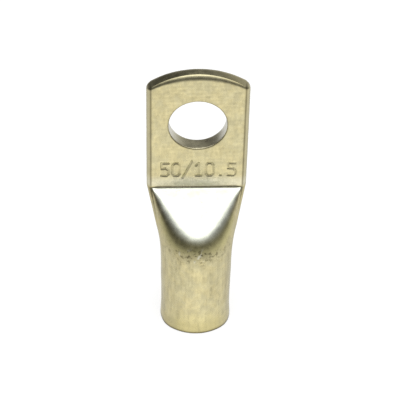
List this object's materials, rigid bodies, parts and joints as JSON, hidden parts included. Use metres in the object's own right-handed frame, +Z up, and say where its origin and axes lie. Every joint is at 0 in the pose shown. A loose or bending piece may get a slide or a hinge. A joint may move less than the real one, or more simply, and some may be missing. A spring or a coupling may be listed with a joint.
{
  "type": "cable lug",
  "caption": "Tubular cable lug: a round barrel takes a bare conductor, and the same tube pressed flat makes a palm with a stud hole.",
  "frame": {"origin": "centre of the barrel's open end", "axes": "+Z up the barrel towards the palm, the ramp faces -Y, and the palm's flat back faces +Y"},
  "size_m": [0.0186, 0.013, 0.0522],
  "materials": {
    "tinned_copper": "dull plated skin, lightly grained and mottled"
  },
  "bodies": {
    "root": {"cable_lug": "tinned_copper"}
  },
  "joints": []
}
